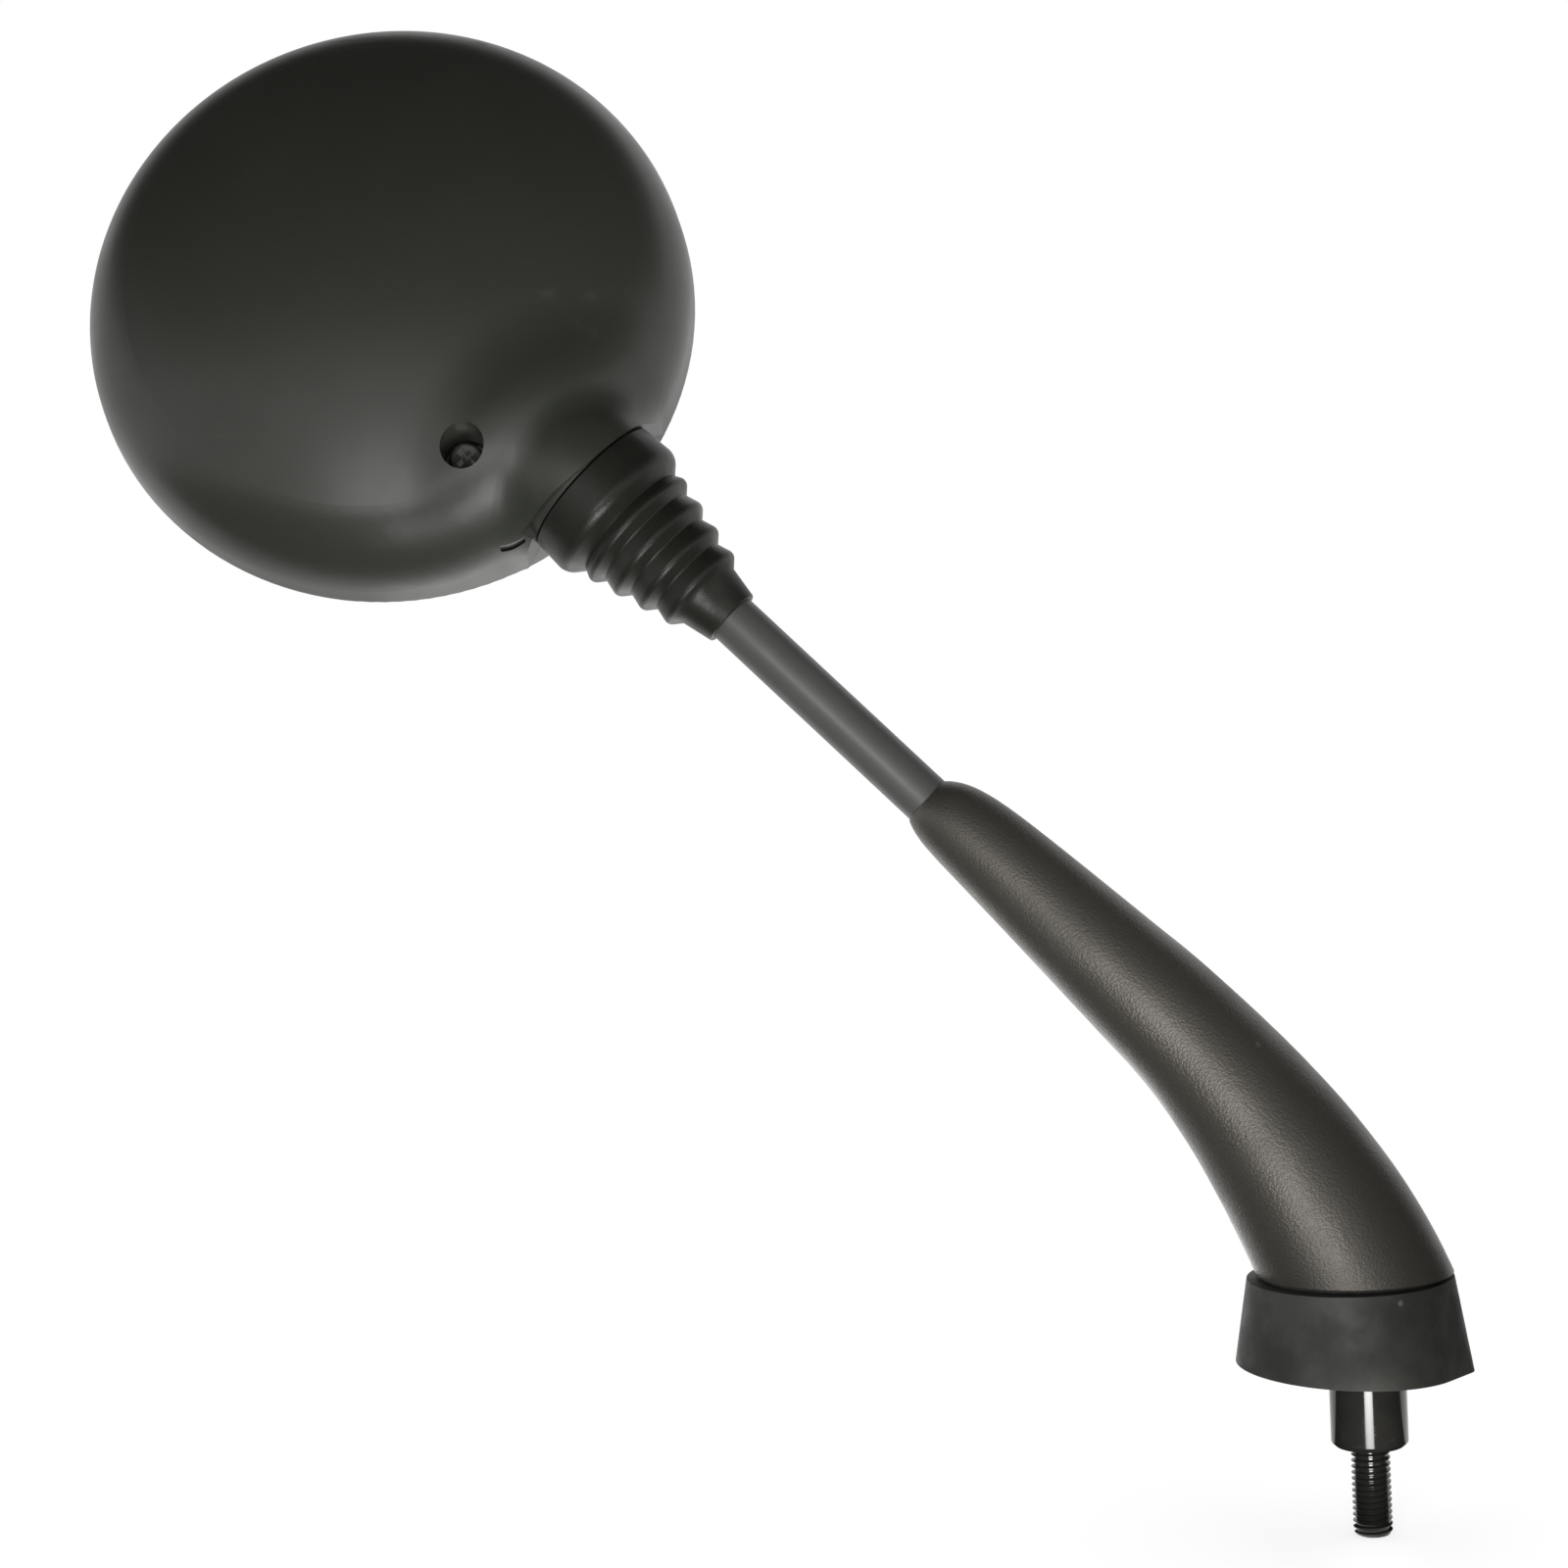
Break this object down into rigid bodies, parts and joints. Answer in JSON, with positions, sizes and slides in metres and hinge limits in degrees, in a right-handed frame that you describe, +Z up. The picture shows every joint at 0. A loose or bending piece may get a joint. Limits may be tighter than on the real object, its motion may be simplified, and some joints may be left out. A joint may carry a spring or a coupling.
{
  "type": "motorcycle mirror",
  "caption": "Round-headed motorcycle mirror: deep moulded bowl on a clamped ball joint with a bellows boot, bent steel stem in a swelling grained arm, rubber base and threaded stud.",
  "frame": {"origin": "on the stud's axis at the lower face of the collar, where the mirror seats", "axes": "+Z up along the stud, out of the mount; the stem leans to -X; the back of the head looks to -Y, so the glass faces +Y"},
  "size_m": [0.2906, 0.0679, 0.3282],
  "materials": {
    "head_plastic": "fine satin, moulded",
    "arm_plastic": "fine grained satin",
    "inner_plastic": "satin",
    "boot_rubber": "matte",
    "base_rubber": "matte",
    "rod_paint": "semi-gloss black",
    "black_steel": "gloss black",
    "screw_black": "blackened",
    "zinc_steel": "zinc plated",
    "nylon": "natural nylon",
    "foam": "foam tape",
    "mirror": "silvered convex glass"
  },
  "bodies": {
    "stem": {"mount_stud": "black_steel", "stem_rod": "rod_paint", "pivot_ball": "zinc_steel", "arm_sleeve": "arm_plastic", "base_rubber": "base_rubber"},
    "boot": {"bellows_boot": "boot_rubber"},
    "ball_seat": {"ball_seat": "nylon"},
    "head": {"head_housing": "head_plastic", "clamp_plate": "inner_plastic", "clamp_screw": "screw_black", "spring_washer": "zinc_steel", "clamp_nut": "zinc_steel", "plate_screws": "zinc_steel", "glass_carrier": "inner_plastic", "adhesive_pad": "foam", "mirror_glass": "mirror"}
  },
  "joints": [
    {"name": "head_spin", "type": "hinge", "parent": "stem", "child": "boot", "pos_m": [-0.16292, 0, 0.21252], "axis": [0.7071, 0, -0.7071], "continuous": true},
    {"name": "head_nod", "type": "hinge", "parent": "boot", "child": "ball_seat", "pos_m": [-0.16292, 0, 0.21252], "axis": [0.6604, 0.3573, 0.6604], "range_deg": [-15, 15], "deforming": ["bellows_boot"]},
    {"name": "head_swing", "type": "hinge", "parent": "ball_seat", "child": "head", "pos_m": [-0.16292, 0, 0.21252], "axis": [0.1858, -0.9299, 0.3173], "range_deg": [-15, 15], "deforming": ["bellows_boot"]}
  ]
}
